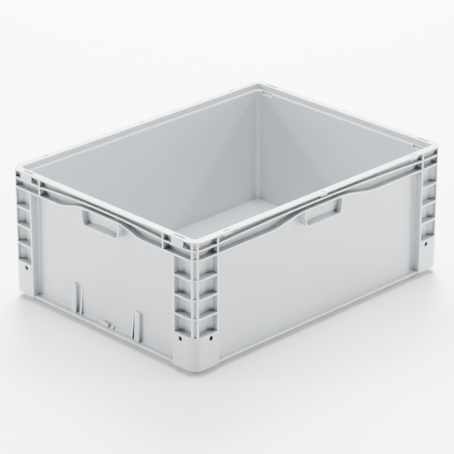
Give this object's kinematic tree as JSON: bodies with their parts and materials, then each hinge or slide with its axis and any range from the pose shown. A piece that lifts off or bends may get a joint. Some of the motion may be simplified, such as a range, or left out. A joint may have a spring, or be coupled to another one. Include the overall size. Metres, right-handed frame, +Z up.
{
  "type": "stacking storage container",
  "caption": "Open rigid stacking container with ribbed corner columns, an arched rib under the rim, shell grips in the walls and a welded ribbed base with a stacking foot.",
  "frame": {"origin": "middle of the underside, on the plane the container stands on", "axes": "+X along the long sides, +Y along the short sides, +Z up"},
  "size_m": [0.8, 0.6, 0.32],
  "materials": {
    "body_plastic": "light silver-grey moulded polypropylene, fine-grained satin",
    "base_plastic": "light silver-grey moulded polypropylene, satin, scuffed underside"
  },
  "bodies": {
    "root": {"box_body": "body_plastic", "base_plate": "base_plastic"}
  },
  "joints": []
}
